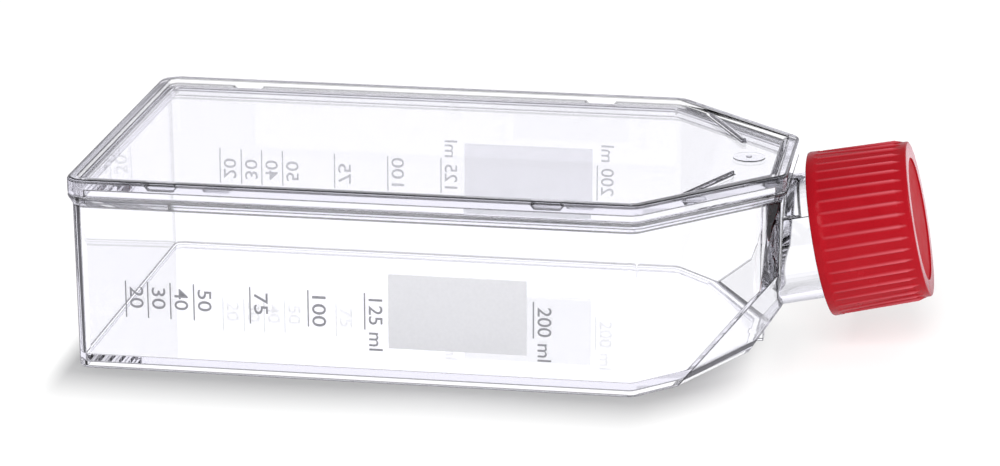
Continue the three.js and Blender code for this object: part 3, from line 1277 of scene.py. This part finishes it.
    def surround_light(self) -> None:
        """Sets the world: white to the camera, a soft level for light, others for the plastic."""
        world = bpy.data.worlds.new("surround")
        world.use_nodes = True
        tree = world.node_tree
        tree.nodes.clear()
        place = add_node(tree, "ShaderNodeTexCoord")
        split = add_node(tree, "ShaderNodeSeparateXYZ", {0: place.outputs["Generated"]})
        height = add_node(tree, "ShaderNodeMapRange", {
            "Value": split.outputs["Z"], "From Min": self.ceiling_fade[0],
            "From Max": self.ceiling_fade[1], "To Min": 1.0, "To Max": self.ceiling,
        }, interpolation_type="SMOOTHSTEP")
        front = self.flagged(tree, height, split.outputs["Y"], self.front_flag)
        path = add_node(tree, "ShaderNodeLightPath")
        guided = add_node(tree, "ShaderNodeMath", {
            0: path.outputs["Glossy Depth"], 1: self.guided,
        }, operation="GREATER_THAN")
        spread = add_node(tree, "ShaderNodeMath", {
            0: front.outputs[0], 1: guided.outputs[0],
        }, operation="MAXIMUM")
        low = add_node(tree, "ShaderNodeMath", {
            0: spread.outputs[0], 1: self.by_depth(tree, path).outputs[0],
        }, operation="MULTIPLY")
        level = self.flagged(tree, low, split.outputs["X"], self.wall_flag)
        seen, hue, bent = self.through_plastic(tree, path, level)
        lit = add_node(tree, "ShaderNodeMix", {0: bent, 2: self.surround, 3: seen})
        strength = add_node(tree, "ShaderNodeMix", {
            0: path.outputs["Is Camera Ray"], 2: lit.outputs[0], 3: 1.0,
        })
        back = add_node(tree, "ShaderNodeBackground", {
            "Color": hue, "Strength": strength.outputs[0],
        })
        add_node(tree, "ShaderNodeOutputWorld", {"Surface": back.outputs[0]})
        bpy.context.scene.world = world

    def build(self) -> None:
        """Sets the whole studio up."""
        self.camera()
        self.floor()
        for lamp in LAMPS:
            lamp.build()
        self.surround_light()
        scene = bpy.context.scene
        scene.view_settings.view_transform = "Standard"
        scene.cycles.max_bounces = self.bounces
        scene.cycles.glossy_bounces = self.bounces
        scene.cycles.transmission_bounces = self.bounces
        scene.cycles.transparent_max_bounces = 16
        scene.cycles.caustics_reflective = False
        scene.cycles.caustics_refractive = False


# ---------------------------------------------------------------- the whole flask

NEAR_MARKS = (
    Mark(11.35, "20", 4.2), Mark(15.6, "30", 4.2), Mark(19.95, "40", 4.2), Mark(24.45, "50", 4.2),
    Mark(35.25, "75", 4.2), Mark(46.35, "100", 6.0), Mark(57.1, "125 ml", 10.2),
    Mark(88.9, "200 ml", 10.6),
)
FAR_MARKS = (
    Mark(11.8, "20", 4.2), Mark(16.3, "30", 4.2), Mark(20.6, "40", 4.2), Mark(25.0, "50", 4.2),
    Mark(35.95, "75", 4.2), Mark(47.1, "100", 6.0), Mark(58.2, "125 ml", 10.2),
    Mark(90.5, "200 ml", 10.6),
)
THREAD_ROOT = 0.05  # how far the middle of a thread's section lies inside its wall


def main() -> None:
    """Builds the flask piece by piece, then the studio."""
    logging.basicConfig(level=logging.INFO, format="%(message)s")
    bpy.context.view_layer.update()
    clear = ClearPolystyrene()
    ink = ScreenInk()
    patch = ScreenInk(
        name="white_screen_ink", colour="#DADADE", pale="#E2E2E6", mesh_pitch=0.6, cover=0.8,
    )
    red = RedPolyethylene()
    eroded = RedPolyethylene(
        name="red_polyethylene_eroded", deep="#B2141F", bright="#C41F2B", specular=0.02,
        gloss=0.5, dull=0.6, grain=0.35, grain_height=0.03,
    )
    ClearMoulding("flask_body", "flask_tray").build(clear)
    ClearMoulding("top_plate", "welded_plate").build(clear)
    GateLand().build(clear)
    PrintedScale(Side.NEAR, NEAR_MARKS, low=10.6, high=17.8).build("scale_near", ink)
    PrintedScale(Side.FAR, FAR_MARKS, low=14.2, high=21.6).build("scale_far", ink)
    WritingPatch(Side.NEAR, start=61.6, end=87.65, low=7.15, high=21.7).build("patch_near", patch)
    WritingPatch(Side.FAR, start=63.1, end=89.5, low=10.5, high=25.0).build("patch_far", patch)
    cap = ScrewCap()
    cap.build(red, eroded)
    neck_thread = Thread(radius=FLASK.neck_radius - THREAD_ROOT, height=0.85, start=11.5)
    neck_thread.build("neck_thread", clear, Body.FLASK)
    cap_thread = Thread(radius=cap.inner_radius + THREAD_ROOT, height=0.4, start=13.5, width=0.9)
    cap_thread.build("cap_thread", red, Body.CAP)
    Studio().build()


if __name__ == "__main__":
    main()
